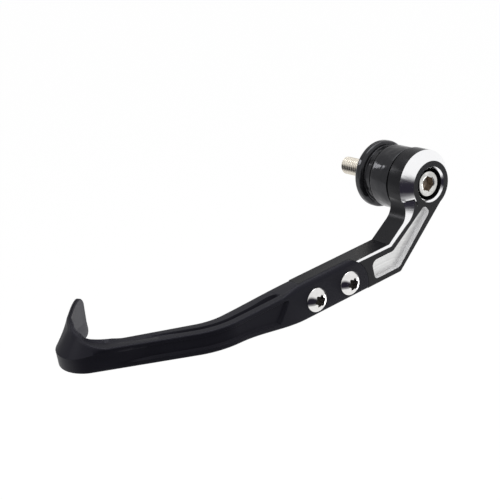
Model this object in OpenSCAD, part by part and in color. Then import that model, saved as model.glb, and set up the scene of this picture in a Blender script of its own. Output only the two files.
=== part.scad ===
// Brake lever guard for a motorcycle handlebar.
// +X runs along the bolt into the bar, +Y forward along the guard, +Z up.
// The origin is the middle of the collar's flange face, where it meets the bar end.

/* [Bar end collar] */
// Length of the collar, from the bar end to the arm
collar_l = 21; // [18:0.5:26]
// Diameter of the collar's barrel
collar_d = 28; // [25:0.5:32]
// Diameter of the flange that meets the bar end
flange_d = 30; // [27:0.5:34]
// Width of the flange
flange_w = 4.5; // [3:0.25:6]
// Diameter of the groove behind the flange
neck_d = 25.6; // [22:0.2:28]
// Width of the groove behind the flange
neck_w = 3.6; // [2:0.2:5]
// Rounding of the flange's rim
flange_round = 1.6; // [0.5:0.1:2]
// Rounding of the barrel's shoulder at the groove
shoulder_round = 2; // [1:0.1:2.5]
// Edge break where the barrel meets the arm
barrel_c = 0.6; // [0.3:0.1:1]
// Small round at the groove's two corners
groove_c = 0.4; // [0.2:0.1:0.6]

/* [Mounting arm] */
// Thickness of the arm's head, which the clamp bolt passes through
head_t = 12; // [11:0.25:15]
// Diameter of the arm's head
head_d = 29.2; // [26:0.2:34]
// Diameter of the flat land inside the turned bevel
land_d = 20.8; // [18:0.2:24]
// Depth of the turned bevel along the bolt
bevel_t = 4.2; // [2:0.1:6]
// Thickness of the arm's bar
bar_t = 11.8; // [10:0.1:12]
// Height of the bar's level stretch
bar_h = 14; // [12.5:0.1:16]
// Distance from the bolt's axis down to the top of the level stretch
bar_drop = 17.8; // [16:0.1:22]
// Distance from the bolt's axis forward to the inner elbow
elbow_y = 27.5; // [25:0.5:34]
// Setback of the outer elbow from the inner one
elbow_back = 3.9; // [2:0.1:6]
// Angle of the sloping stretch's inner flank below level
slope = 32; // [28:1:36]
// Radius of the hollow where the inner flank leaves the head
root_r = 8; // [5:0.5:10]
// Chamfer of the inner flank where it leaves the head's hollow
flank_c = 1.1; // [0.8:0.1:2]
// Chamfer of the inner flank at the elbow, from where it fades along the level stretch
level_c = 0.85; // [0.5:0.05:1.2]
// Small edge break on the arm's other edges
edge_c = 0.3; // [0.1:0.1:0.6]
// Depth of the milled pocket in the front face
pocket_t = 2.4; // [1:0.1:4]
// Distance from the arm's inner flank to the pocket
pocket_in = 3.2; // [2:0.1:5]
// Width of the wall left below the pocket and at its forward end
pocket_wall = 2.4; // [1.5:0.1:4]
// Width of the pocket at its upper end
pocket_tip_w = 4.2; // [3:0.1:5]
// Distance from the bolt's axis to the pocket's upper end
pocket_start = 8.6; // [8.4:0.1:13]
// Rounding of the pocket's two upper corners
pocket_round = 2.8; // [1.5:0.1:3.5]
// Radius of the cutter, left in the pocket's lower corners
cutter_r = 1.6; // [1:0.1:2]
// Slant of the pocket's ends towards its lower wall
pocket_slant = 0.6; // [0:0.1:1]

/* [Lap joint] */
// Thickness of the arm's tongue, behind the guard's cheek
tongue_t = 6.2; // [5:0.1:7]
// Distance from the inner elbow to the rear screw
rear_screw_y = 25.1; // [23:0.1:30]
// Distance between the two screws
screw_gap = 18.6; // [15:0.1:22]
// Height of the screws above the bar's lower edge
screw_h = 6.3; // [6:0.1:8]
// Radius of the round shoulder and of the tongue's round end
lap_r = 12; // [10:0.5:16]
// Distance from the rear screw back to the shoulder
shoulder_l = 10.4; // [9:0.1:12]
// Distance of the shoulder arc's centre below the screws
shoulder_drop = 2; // [0:0.25:3]
// Distance from the front screw to the tongue's end
tongue_over = 6.5; // [5.5:0.1:9]
// Gap round the ends of the lap joint
lap_gap = 0.15; // [0.05:0.05:0.4]

/* [Clamp bolt] */
// Thread diameter of the clamp bolt
bolt_d = 8; // [6:1:10]
// Length of the bolt under its head
bolt_l = 45; // [40:1:60]
// Diameter of the bolt's head
bolt_head_d = 11.2; // [10:0.1:13]
// Height of the bolt's head
bolt_head_h = 8; // [6:0.5:10]
// Width across the flats of the bolt's hexagon socket
bolt_hex = 6; // [4:1:8]
// Depth of the bolt's hexagon socket
bolt_hex_t = 4; // [2:0.5:5]
// Rounding of the bolt head's rim
bolt_round = 0.4; // [0.2:0.1:1.2]
// Depth of the bolt head's top below the arm's front face
bolt_sunk = 1.5; // [0.5:0.1:3]
// Diameter of the groove where the bolt's thread runs out, inside the collar's mouth
runout_d = 6.8; // [6:0.1:7.2]
// Length of that groove
runout_l = 1.2; // [0.8:0.1:2]
// Distance of the thread's start past the collar's face
thread_lead = 0.1; // [0.1:0.1:0.5]
// Gap round the bolt's shank
bolt_gap = 0.3; // [0.1:0.05:0.6]
// Gap round the bolt's head in its counterbore
head_gap = 1.45; // [0.5:0.05:2]
// Chamfer at the mouth of the counterbore
mouth_c = 0.8; // [0.3:0.1:1.2]

/* [Guard screws] */
// Thread diameter of the guard screws
screw_d = 6; // [5:0.5:6]
// Diameter of the button head
button_d = 10.5; // [9:0.1:11.5]
// Height of the button head
button_h = 3.3; // [2.5:0.1:4]
// Size across the points of the star socket
star_d = 5.4; // [4:0.1:6]
// Depth of the star socket
star_t = 2; // [1:0.1:2.4]
// Height of the button head's upright rim
button_rim = 0.5; // [0.2:0.1:0.8]
// Chamfer at the bolt's and the screws' ends
end_c = 0.6; // [0.3:0.1:1]
// Gap round the screw in the guard's cheek
screw_gap_r = 0.2; // [0.1:0.05:0.4]
// Gap round the screw in the tongue's tapped hole
thread_gap = 0.05; // [0.02:0.01:0.1]

/* [Lever guard] */
// Distance from the bolt's axis forward to the middle of the guard's bend
bend_y = 119.6; // [112:0.5:135]
// Angle that the blade turns inboard at the bend
bend_a = 37; // [30:1:42]
// Outer radius of the bend
bend_r = 30; // [24:1:36]
// Length of the straight run from the bend's middle to the curl
run_l = 52; // [42:1:60]
// Outer radius of the curl
curl_r = 16.5; // [15.5:0.5:20]
// Direction that the fin at the end points, as a turn inboard from forward
end_a = 155; // [140:1:170]
// Straight length of the fin after the curl
end_l = 15.5; // [8:0.5:18]
// Thickness of the blade between the lap joint and the curl
blade_t = 10.8; // [8:0.1:12]
// Thickness where the curl starts
root_t = 8.4; // [5:0.1:9]
// Thickness of the thin fin at the end
fin_t = 2.3; // [1.6:0.1:3.5]
// Height of the blade past its taper
blade_h = 9.6; // [8:0.1:12]
// Drop of the blade's upper edge along the taper
blade_drop = 0.9; // [0:0.1:2]
// Distance that the blade's front face stands back from the cheek's
blade_back = 1.3; // [0:0.1:2]
// Length of the taper in front of the lap joint
taper_l = 34; // [26:1:36]
// Rise of the fin's tip above the blade's upper edge
fin_rise = 8.7; // [4:0.1:9]
// How the fin's upper edge climbs: 1 is straight, more slows down towards the tip
fin_ease = 1.3; // [1:0.1:3]
// Length before the curl over which the fin starts to rise
fin_lead = 7; // [4:0.5:10]
// Inward lean of the curl's upper edge where it leans most
fin_lean = 7.6; // [4:0.1:9]
// Inward lean of the upper edge that is left at the fin's end
end_lean = 0.7; // [0:0.1:4]
// Rounding of the fin's two corners
fin_round = 3; // [1:0.1:4]
// Depth of the crease below the blade's upper edge at the fin
crease_drop = 3.2; // [1:0.1:4]
// Rounding of the cheek's upper front edge
cheek_round = 2.6; // [1:0.1:3]
// Rounding of the blade's other edges
blade_round = 0.8; // [0.4:0.1:1]
// Height of the lower flange under the front channel
flange_h = 2.6; // [1.5:0.1:3]
// Height of the upper flange above the front channel
upper_flange_h = 1.7; // [1.2:0.1:2.5]
// Depth of the front channel
channel_t = 1; // [0:0.1:1.8]
// Distance from the lap joint's end to the start of the channel at its top
channel_lead = 7.4; // [6:0.2:10]
// How much further forward the channel starts at its bottom
channel_slant = 5.6; // [3:0.2:7]
// Length over which the channel reaches its depth
channel_ramp = 2; // [1:0.5:4]
// Width of the groove in the blade's upper face
groove_w = 2.2; // [1.2:0.1:3]
// Depth of the groove in the blade's upper face
groove_t = 1.8; // [0:0.1:3]
// Distance from the front face to the groove
groove_in = 4.6; // [2.5:0.1:5]

/* [Hidden] */
$fn = 96;

// Planes across the bolt's axis
arm_back_x = -collar_l;
front_x = arm_back_x - head_t;
bar_back_x = front_x + bar_t;
lap_x = bar_back_x - tongue_t;
seat_x = front_x + bolt_sunk + bolt_head_h;

// Heights and places of the bar and the joint
top_z = -bar_drop;
low_z = top_z - bar_h;
screw_z = low_z + screw_h;
screw1_y = elbow_y + rear_screw_y;
screw2_y = screw1_y + screw_gap;
shoulder_y = screw1_y - shoulder_l + lap_r;
shoulder_z = screw_z - shoulder_drop;
tongue_end_y = screw2_y + tongue_over - lap_r;

// Blade: z of its edges past the taper, and the line its front face follows
blade_top_z = top_z - blade_drop;
blade_low_z = blade_top_z - blade_h;
blade_x = front_x + blade_back;
taper_y = tongue_end_y + lap_r + lap_gap;
bend_len = bend_r * bend_a * PI / 180;
bend_tan = bend_r * tan(bend_a / 2);
run_len = run_l - bend_tan;
curl_len = curl_r * (end_a - bend_a) * PI / 180;
guard_y = screw1_y - shoulder_l - 1;
first_len = bend_y - bend_tan - guard_y;
curl_s = first_len + bend_len + run_len;
total_s = curl_s + curl_len + end_l;

// Share of the way from a to b, eased at both ends and held outside them
function ease(a, b, s) =
    let (u = max(0, min(1, (s - a) / (b - a)))) u * u * (3 - 2 * u);
function mix(a, b, u) = a + (b - a) * u;
function arc(c, r, a0, a1, n) =
    [for (i = [0 : n]) let (a = mix(a0, a1, i / n)) [c[0] + r * cos(a), c[1] + r * sin(a)]];
function unit(v) = v / norm(v);
function dot(a, b) = a[0] * b[0] + a[1] * b[1];

// Points of a closed outline whose corners, each [y, z, radius], are rounded
function rounded(corners, n = 8) = [
    for (i = [0 : len(corners) - 1])
        let (
            m = len(corners),
            p = [corners[i][0], corners[i][1]],
            q = corners[(i + m - 1) % m],
            t = corners[(i + 1) % m],
            u = unit([q[0], q[1]] - p),
            v = unit([t[0], t[1]] - p),
            half = acos(dot(u, v)) / 2,
            r = corners[i][2],
            c = p + unit(u + v) * r / sin(half),
            e0 = p + u * r / tan(half) - c,
            e1 = p + v * r / tan(half) - c,
            a0 = atan2(e0[1], e0[0]),
            turn = atan2(e0[0] * e1[1] - e0[1] * e1[0], dot(e0, e1))
        )
        each arc(c, r, a0, a0 + turn, n)
];

// Closed skin through rings of points, each ring with the same number of points
module skin(rings) {
    n = len(rings[0]);
    m = len(rings);
    polyhedron(
        points = [for (r = rings) each r],
        faces = [
            [for (i = [0 : n - 1]) i],
            for (k = [0 : m - 2], i = [0 : n - 1])
                let (a = k * n + i, b = k * n + (i + 1) % n)
                each [[a, a + n, b], [b, a + n, b + n]],
            [for (i = [n - 1 : -1 : 0]) (m - 1) * n + i]
        ],
        convexity = 10
    );
}

// A turned body along +X from a profile of [x, radius] points
module turned(profile) {
    rotate([0, 90, 0]) rotate([0, 0, 90])
        rotate_extrude() polygon([for (p = profile) [p[1], p[0]]]);
}
module rod(x0, x1, r) {
    translate([x0, 0, 0]) rotate([0, 90, 0]) cylinder(h = x1 - x0, r = r);
}
// A prism along +X from x0 to x1 over a flat shape drawn in Y and Z
module slab(x0, x1) {
    translate([x0, 0, 0]) rotate([90, 0, 90]) linear_extrude(x1 - x0) children();
}

// The arm's flat faces stand this much proud until a facing cut
facing = 0.4;

// Mounting arm: outline of the bar, with its chamfer at every point
flank_dir = [cos(slope), -sin(slope)];
flank_up = [sin(slope), cos(slope)];
inner_elbow = [elbow_y, top_z];
flank_off = dot(inner_elbow, flank_up);
root_bite = 0.1;
root_fade = 0.7;
root_reach = head_d / 2 + root_r - root_bite;
root_along = sqrt(pow(root_reach, 2) - pow(root_r + flank_off, 2));
root_c = flank_dir * root_along + flank_up * (root_r + flank_off);
root_a0 = atan2(-root_c[1], -root_c[0]);
root_a1 = atan2(-flank_up[1], -flank_up[0]);
outer_elbow = [elbow_y - elbow_back, low_z];
outer_a = atan2(outer_elbow[1], outer_elbow[0]) - acos(land_d / 2 / norm(outer_elbow));
outer_start = [cos(outer_a), sin(outer_a)] * land_d / 2;
elbow_r = 2;
root_steps = 12;
bar_end_y = tongue_end_y + lap_r + 1;

root_arc = arc(root_c, root_r, root_a0, root_a1 + 360, root_steps);
// The outer elbow alone: the middle corner of a rounded triangle of elbow_steps + 1 points each
elbow_steps = 6;
outer_arc = rounded([[bar_end_y, low_z, elbow_r], [outer_elbow[0], low_z, elbow_r],
                     [outer_start[0], outer_start[1], elbow_r]], elbow_steps);
bar_outline = concat(
    [[0, 0, edge_c]],
    [for (i = [0 : root_steps])
        [root_arc[i][0], root_arc[i][1], mix(bevel_t, flank_c, pow(i / root_steps, root_fade))]],
    [[inner_elbow[0], inner_elbow[1], level_c],
     [bar_end_y, top_z, edge_c],
     [bar_end_y, low_z, edge_c]],
    [for (i = [0 : elbow_steps]) let (p = outer_arc[elbow_steps + 1 + i]) [p[0], p[1], edge_c]],
    [[outer_start[0], outer_start[1], edge_c]]
);
function bar_normal(i) =
    let (
        m = len(bar_outline),
        p = bar_outline[(i + m - 1) % m],
        q = bar_outline[i],
        t = bar_outline[(i + 1) % m],
        u = unit([q[0] - p[0], q[1] - p[1]]),
        v = unit([t[0] - q[0], t[1] - q[1]]),
        n = unit([u[1], -u[0]] + [v[1], -v[0]])
    )
    n / max(0.5, dot(n, [v[1], -v[0]]));
function bar_ring(kind) = [
    for (i = [0 : len(bar_outline) - 1])
        let (p = bar_outline[i], n = bar_normal(i), c = p[2])
        kind == 0 ? [bar_back_x + facing, p[0], p[1]] :
        kind == 1 ? [front_x + c, p[0], p[1]] :
        let (d = c + 2 * facing)
                    [front_x - 2 * facing, p[0] + n[0] * d, p[1] + n[1] * d]
];

pocket_top_z = top_z - pocket_in;
pocket_low_z = low_z + pocket_wall;
pocket_end_y = shoulder_y - lap_r - pocket_wall - pocket_slant;
pocket_tip = flank_dir * pocket_start - flank_up * (pocket_in - flank_off);
pocket_foot = pocket_tip - [0.6, 0.9] * pocket_tip_w;
pocket_elbow_y = elbow_y - pocket_in * tan(slope / 2);
module pocket_shape() {
    polygon(rounded([
        [pocket_tip[0], pocket_tip[1], pocket_tip_w * 0.45],
        [pocket_elbow_y, pocket_top_z, pocket_round],
        [pocket_end_y, pocket_top_z, pocket_round],
        [pocket_end_y - pocket_slant, pocket_low_z, cutter_r],
        [outer_elbow[0] + pocket_slant, pocket_low_z, cutter_r],
        [pocket_foot[0], pocket_foot[1], pocket_tip_w * 0.4]
    ]));
}

module facing_cut() { square(4 * bar_end_y, center = true); }

module mounting_arm() {
    color("#2b2b2d") difference() {
        union() {
            turned([[arm_back_x, 0], [arm_back_x, head_d / 2 - edge_c],
                    [arm_back_x - edge_c, head_d / 2], [front_x + bevel_t, head_d / 2],
                    [front_x - facing, land_d / 2 - facing], [front_x - facing, 0]]);
            difference() {
                skin([bar_ring(0), bar_ring(1), bar_ring(2)]);
                slab(bar_back_x, bar_back_x + 1) facing_cut();
            }
        }
        slab(front_x - 1, front_x) facing_cut();
        // Counterbore, its chamfered mouth and the bolt hole
        rod(front_x - 1, seat_x, bolt_head_d / 2 + head_gap);
        turned([[front_x - 1, 0], [front_x - 1, bolt_head_d / 2 + head_gap + mouth_c + 1],
                [front_x + mouth_c, bolt_head_d / 2 + head_gap], [front_x + mouth_c, 0]]);
        rod(seat_x - 1, arm_back_x + 1, bolt_d / 2 + bolt_gap);
        // Milled pocket
        slab(front_x - 1, front_x + pocket_t) pocket_shape();
        // Lap joint: the front half past the round shoulder, and the tongue's round end
        slab(front_x - 1, lap_x) {
            translate([shoulder_y, low_z - 1]) square([bar_end_y, bar_h + 2]);
            translate([shoulder_y, shoulder_z]) circle(lap_r);
        }
        slab(lap_x - 1, bar_back_x + 1) difference() {
            translate([tongue_end_y, low_z - 1]) square([bar_end_y - tongue_end_y + 1, bar_h + 2]);
            translate([tongue_end_y, screw_z]) circle(lap_r);
        }
        for (y = [screw1_y, screw2_y])
            translate([0, y, screw_z]) rod(lap_x - 1, bar_back_x + 1, screw_d / 2 + thread_gap);
    }
}

// Bar end collar: barrel, rounded shoulder, groove and rounded flange
groove_x = -flange_w - neck_w;
shoulder_low_a = asin((neck_d / 2 - collar_d / 2 + shoulder_round) / shoulder_round);
module bar_end_collar() {
    color("#17171a") difference() {
        turned(concat(
            [[arm_back_x, 0], [arm_back_x, collar_d / 2 - barrel_c],
             [arm_back_x + barrel_c, collar_d / 2]],
            arc([groove_x - shoulder_round, collar_d / 2 - shoulder_round],
                shoulder_round, 90, shoulder_low_a, 8),
            [[groove_x, neck_d / 2], [-flange_w - groove_c, neck_d / 2],
             [-flange_w, neck_d / 2 + groove_c]],
            arc([-flange_w + flange_round, flange_d / 2 - flange_round], flange_round, 180, 90, 8),
            arc([-flange_round, flange_d / 2 - flange_round], flange_round, 90, 0, 8),
            [[0, 0]]
        ));
        rod(arm_back_x - 1, 1, bolt_d / 2 + bolt_gap);
    }
}

// Clamp bolt: socket head, shank and chamfered end
head_top_x = seat_x - bolt_head_h;
module clamp_bolt() {
    color("#b9b4aa") difference() {
        turned(concat(
            [[head_top_x, 0]],
            arc([head_top_x + bolt_round, bolt_head_d / 2 - bolt_round], bolt_round, 180, 90, 8),
            [[seat_x, bolt_head_d / 2], [seat_x, bolt_d / 2],
             [thread_lead - runout_l, bolt_d / 2], [thread_lead - runout_l, runout_d / 2],
             [thread_lead, runout_d / 2], [thread_lead, bolt_d / 2],
             [seat_x + bolt_l - end_c, bolt_d / 2], [seat_x + bolt_l, bolt_d / 2 - end_c],
             [seat_x + bolt_l, 0]]
        ));
        translate([head_top_x - 1, 0, 0]) rotate([0, 90, 0])
            cylinder(h = bolt_hex_t + 1, r = bolt_hex / 2 / cos(30), $fn = 6);
    }
}

// Star socket: its core as a share of its size, and the radius of its six lobes
star_root = 0.74;
star_lobe = star_d * 0.14;

// Guard screw: button head with a star socket, its seat on the cheek's front face
module guard_screw(y) {
    dome_r = (pow(button_d / 2, 2) + pow(button_h - button_rim, 2)) / (2 * (button_h - button_rim));
    dome_a = asin(button_d / 2 / dome_r);
    color("#c9c8c4") translate([0, y, screw_z]) difference() {
        turned(concat(
            [[front_x - button_h, 0]],
            [for (i = [1 : 10]) let (a = dome_a * i / 10)
                [front_x - button_rim - dome_r * (cos(a) - cos(dome_a)), dome_r * sin(a)]],
            [[front_x, button_d / 2], [front_x, screw_d / 2],
             [bar_back_x - end_c, screw_d / 2], [bar_back_x, screw_d / 2 - end_c],
             [bar_back_x, 0]]
        ));
        slab(front_x - button_h - 1, front_x - button_h + star_t) {
            circle(d = star_root * star_d, $fn = 48);
            for (a = [0 : 60 : 300]) rotate(a)
                translate([star_d / 2 - star_lobe, 0]) circle(star_lobe, $fn = 24);
        }
    }
}
module rear_guard_screw() { guard_screw(screw1_y); }
module front_guard_screw() { guard_screw(screw2_y); }

// Lever guard: place and heading of its front face at length s along the blade
function walk(s) =
    s < first_len ? [[blade_x, guard_y + s], 0] :
    s < first_len + bend_len ?
        let (h = (s - first_len) / bend_r * 180 / PI)
        [bend_start + [bend_r * (1 - cos(h)), bend_r * sin(h)], h] :
    s < curl_s ?
        [bend_end + run_dir * (s - first_len - bend_len), bend_a] :
    let (
        h = min(end_a, bend_a + (s - curl_s) / curl_r * 180 / PI),
        rest = max(0, s - curl_s - curl_len)
    )
    [curl_start + curl_r * [cos(bend_a) - cos(h), sin(h) - sin(bend_a)]
        + rest * [sin(h), cos(h)], h];
bend_start = [blade_x, guard_y + first_len];
bend_end = bend_start + bend_r * [1 - cos(bend_a), sin(bend_a)];
run_dir = [sin(bend_a), cos(bend_a)];
curl_start = bend_end + run_dir * run_len;

// Section of the blade at length s, as [distance in from the front face, z] points
taper_s = taper_y - guard_y;
channel_s = taper_s + channel_lead;
// Turns of the curl where the fin has thinned, where it leans most and where it straightens
thin_turn = 20;
lean_turn = 43;
back_turn = 83;
thin_s = curl_s + curl_r * thin_turn * PI / 180;
lean_s = curl_s + curl_r * lean_turn * PI / 180;
back_s = curl_s + curl_r * back_turn * PI / 180;
// Lengths before the curl: thinning starts, the channel starts to fade and ends, the groove ends
thin_lead = 9;
fade_lead = 26;
fade_end = 8;
groove_lead = 4;
// Lengths past the taper's start: the groove starts and has its depth, the cheek's round is gone
groove_start = 10;
groove_ramp = 3;
round_fade = 12;
// Least height of the lower flange at the fin, least top flange, and the channel walls' draft
low_least = 1.2;
top_least = 0.2;
crease_least = 1;
draft_low = 0.3;
draft_top = 0.5;
groove_draft = 0.3;
function section(s) =
    let (
        taper = ease(taper_s, taper_s + taper_l, s),
        face = -blade_back * (1 - taper),
        thick = s < curl_s - thin_lead
            ? mix(bar_t, mix(blade_t, root_t, max(0, (s - first_len) / run_l)), taper)
            : mix(root_t, fin_t, ease(curl_s - thin_lead, thin_s, s)),
        top0 = mix(top_z, blade_top_z, taper),
        low0 = mix(low_z, blade_low_z, taper),
        up = max(0, min(1, (s - curl_s + fin_lead) / (total_s - curl_s + fin_lead))),
        to_end = max(0, fin_round - total_s + s),
        tip = fin_round - sqrt(pow(fin_round, 2) - pow(to_end, 2)),
        top = top0 + fin_rise * (1 - pow(1 - up, fin_ease)) - tip,
        low = low0 + tip,
        crease = top0 - mix(crease_least, crease_drop, ease(curl_s - fin_lead, lean_s, s)),
        lean = mix(fin_lean * ease(curl_s - fin_lead, lean_s, s), end_lean,
                   ease(back_s, total_s, s)),
        r = min(blade_round, thick * 0.2),
        rt = min(mix(cheek_round, blade_round, ease(taper_s, taper_s + round_fade, s)), thick * 0.4),
        fade = channel_t * (1 - ease(curl_s - fade_lead, curl_s - fade_end, s)),
        web_top = fade * ease(channel_s, channel_s + channel_ramp, s),
        low_s = channel_s + channel_slant,
        web_low = fade * ease(low_s, low_s + channel_ramp, s),
        gro_s = taper_s + groove_start,
        gro = groove_t * ease(gro_s, gro_s + groove_ramp, s)
            * (1 - ease(first_len, curl_s - groove_lead, s)),
        g0 = face + min(groove_in, thick * 0.4),
        g1 = g0 + min(groove_w, thick * 0.3),
        wz0 = max(low0 + flange_h, low + low_least),
        wz1 = min(crease - top_least, top - max(upper_flange_h, rt + top_least)),
        back = face + thick
    )
    concat(
        arc([face + r, low + r], r, 270, 180, 2),
        [[face, wz0 - draft_top], [face + web_low, wz0 + draft_low],
         [face + web_top, wz1 - draft_top], [face, wz1]],
        [for (p = arc([face + rt, max(top - rt, crease)], rt, 180, 90, 5))
            [p[0] + lean * (p[1] - wz1) / (top - wz1), p[1]]],
        [[g0 + lean, top], [g0 + groove_draft + lean, top - gro - 0.01],
         [g1 - groove_draft + lean, top - gro - 0.01], [g1 + lean, top]],
        [for (p = arc([back - r, top - r], r, 90, 0, 2))
            [p[0] + lean * (p[1] - wz1) / (top - wz1), p[1]]],
        [[back, crease]],
        arc([back - r, low + r], r, 0, -90, 2)
    );
function guard_ring(s) =
    let (w = walk(s), h = w[1], inward = [cos(h), -sin(h)])
    [for (p = section(s)) [w[0][0] + inward[0] * p[0], w[0][1] + inward[1] * p[0], p[1]]];

// Lengths at which the blade gets a ring: even steps inside each stretch
function steps(a, b, n) = [for (i = [0 : n - 1]) mix(a, b, i / n)];
stations = concat(
    [0],
    steps(taper_s, channel_s, 5),
    steps(channel_s, channel_s + channel_slant + channel_ramp, 8),
    steps(channel_s + channel_slant + channel_ramp, first_len, 8),
    steps(first_len, first_len + bend_len, 8),
    steps(first_len + bend_len, curl_s - fin_lead, 6),
    steps(curl_s - fin_lead, curl_s, 4),
    steps(curl_s, curl_s + curl_len, 26),
    [curl_s + curl_len],
    [for (a = [0 : 15 : 90]) total_s - fin_round * (1 - sin(a))]
);
module lever_guard() {
    color("#26262a") difference() {
        skin([for (s = stations) guard_ring(s)]);
        // Pocket behind the cheek, where the arm's tongue lies
        slab(lap_x, bar_back_x + 5) {
            translate([guard_y - 5, low_z - 5]) square([tongue_end_y - guard_y + 5, bar_h + 10]);
            translate([tongue_end_y, screw_z]) circle(lap_r + lap_gap);
        }
        // Round end of the cheek against the arm's shoulder
        difference() {
            slab(front_x - 5, bar_back_x + 5)
                translate([guard_y - 5, low_z - 5])
                    square([shoulder_y - guard_y + 5, bar_h + 10]);
            translate([0, shoulder_y, shoulder_z])
                rod(front_x - 6, bar_back_x + 6, lap_r - lap_gap);
        }
        for (y = [screw1_y, screw2_y])
            translate([0, y, screw_z]) rod(front_x - 5, lap_x + 1, screw_d / 2 + screw_gap_r);
    }
}

mounting_arm();
lever_guard();
bar_end_collar();
clamp_bolt();
rear_guard_screw();
front_guard_screw();
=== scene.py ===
"""The finished look of a brake lever guard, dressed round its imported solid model.

The guard's own frame is used throughout: +X along the clamp bolt into the bar, +Y forward
along the guard, +Z up, with the origin at the middle of the collar's flange face. Shapes are
worked out in millimetres and turned into metres when their mesh is made.
"""

from __future__ import annotations

import logging
import math
from dataclasses import dataclass, field
from enum import Enum, IntEnum

import bmesh
import bpy
import numpy as np
from mathutils import Matrix, Vector


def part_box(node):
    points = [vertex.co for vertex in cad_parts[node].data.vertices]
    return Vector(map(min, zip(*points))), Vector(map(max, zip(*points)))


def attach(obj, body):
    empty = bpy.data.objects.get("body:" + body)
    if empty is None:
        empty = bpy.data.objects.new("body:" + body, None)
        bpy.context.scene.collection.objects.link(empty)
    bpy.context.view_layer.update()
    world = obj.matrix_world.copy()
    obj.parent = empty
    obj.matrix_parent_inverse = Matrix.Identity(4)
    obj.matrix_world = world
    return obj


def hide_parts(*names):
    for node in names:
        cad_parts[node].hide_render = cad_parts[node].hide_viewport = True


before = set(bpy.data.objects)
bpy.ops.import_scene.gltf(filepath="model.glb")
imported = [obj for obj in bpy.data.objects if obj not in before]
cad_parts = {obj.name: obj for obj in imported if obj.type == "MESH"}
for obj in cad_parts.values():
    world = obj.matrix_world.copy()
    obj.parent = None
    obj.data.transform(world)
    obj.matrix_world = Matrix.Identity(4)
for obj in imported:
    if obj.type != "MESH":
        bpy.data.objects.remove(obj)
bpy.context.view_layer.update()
MM = 0.001
LOG = logging.getLogger("lever_guard")


class Slot(Enum):
    """The record's material slots."""

    ALLOY = "black_anodised_alloy"
    NYLON = "black_nylon"
    COLLAR = "glossy_black_collar"
    STAINLESS = "stainless_steel"
    POLISHED = "polished_screw"


class ArmFace(IntEnum):
    """The finishes of the arm's faces, in the order of its materials."""

    ANODISED = 0
    TURNED = 1
    FLOOR = 2
    WALL = 3


class BoltFace(IntEnum):
    """The finishes of the clamp bolt's faces, in the order of its materials."""

    SHANK = 0
    SOCKET = 1
    HEAD = 2


class End(Enum):
    """The two guard screws."""

    REAR = "rear"
    FRONT = "front"


def cad_box(node: str) -> tuple[np.ndarray, np.ndarray]:
    """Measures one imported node.

    Args:
        node: The node's name.

    Returns:
        Its lowest and highest corner, in millimetres.
    """
    low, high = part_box(node)
    return np.array(low) / MM, np.array(high) / MM


def ease(start: float, end: float, s: np.ndarray) -> np.ndarray:
    """Share of the way from start to end, with smooth ends: 3u^2 - 2u^3 of the clamped share u."""
    u = np.clip((s - start) / (end - start), 0.0, 1.0)
    return u * u * (3.0 - 2.0 * u)


def mix(a: np.ndarray | float, b: np.ndarray | float, share: np.ndarray | float) -> np.ndarray:
    """Straight blend a + (b - a) * share."""
    return a + (b - a) * share


def rounded(
    u: np.ndarray, z: np.ndarray, radius: np.ndarray, start: float, end: float, steps: int
) -> list[tuple[np.ndarray, np.ndarray]]:
    """Points of a rounded corner at every length: (u, z) + radius * (cos a, sin a).

    Args:
        u: Distance of the corner's centre from the front line, at each length.
        z: Height of its centre, at each length.
        radius: Its radius, at each length.
        start: First angle in degrees.
        end: Last angle in degrees.
        steps: Number of steps between them.

    Returns:
        The corner's points, each as two arrays over the lengths.
    """
    angles = np.radians(np.linspace(start, end, steps + 1))
    return [(u + radius * math.cos(a), z + radius * math.sin(a)) for a in angles]


def arc(
    centre: tuple[float, float], radius: float, start: float, end: float, steps: int
) -> np.ndarray:
    """Points of a flat arc: centre + radius * (cos a, sin a) for even angles a.

    Args:
        centre: The arc's centre.
        radius: Its radius.
        start: First angle in degrees.
        end: Last angle in degrees.
        steps: Number of steps between them.

    Returns:
        An array of steps + 1 points.
    """
    angles = np.radians(np.linspace(start, end, steps + 1))
    return np.array(centre) + radius * np.stack([np.cos(angles), np.sin(angles)], axis=-1)


def quads(rings: int, around: int) -> np.ndarray:
    """Corner numbers of the four-sided faces between successive closed rings of points."""
    k, i = np.meshgrid(np.arange(rings - 1), np.arange(around), indexing="ij")
    j = (i + 1) % around
    corners = [k * around + i, k * around + j, (k + 1) * around + j, (k + 1) * around + i]
    return np.stack(corners, axis=-1).reshape(-1, 4)


def smooth(mesh: bpy.types.Mesh, sharp_above: float) -> None:
    """Shades a mesh smooth, apart from edges that turn by more than an angle in degrees."""
    mesh.polygons.foreach_set("use_smooth", np.ones(len(mesh.polygons), dtype=bool))
    mesh.set_sharp_from_angle(angle=math.radians(sharp_above))
    mesh.update()


def tidy(mesh: bpy.types.Mesh, merge_mm: float = 0.0005) -> None:
    """Merges doubled points and turns all faces outwards."""
    work = bmesh.new()
    work.from_mesh(mesh)
    bmesh.ops.remove_doubles(work, verts=work.verts, dist=merge_mm * MM)
    bmesh.ops.dissolve_degenerate(work, dist=merge_mm * MM, edges=work.edges)
    bmesh.ops.recalc_face_normals(work, faces=work.faces)
    work.to_mesh(mesh)
    work.free()


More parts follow.
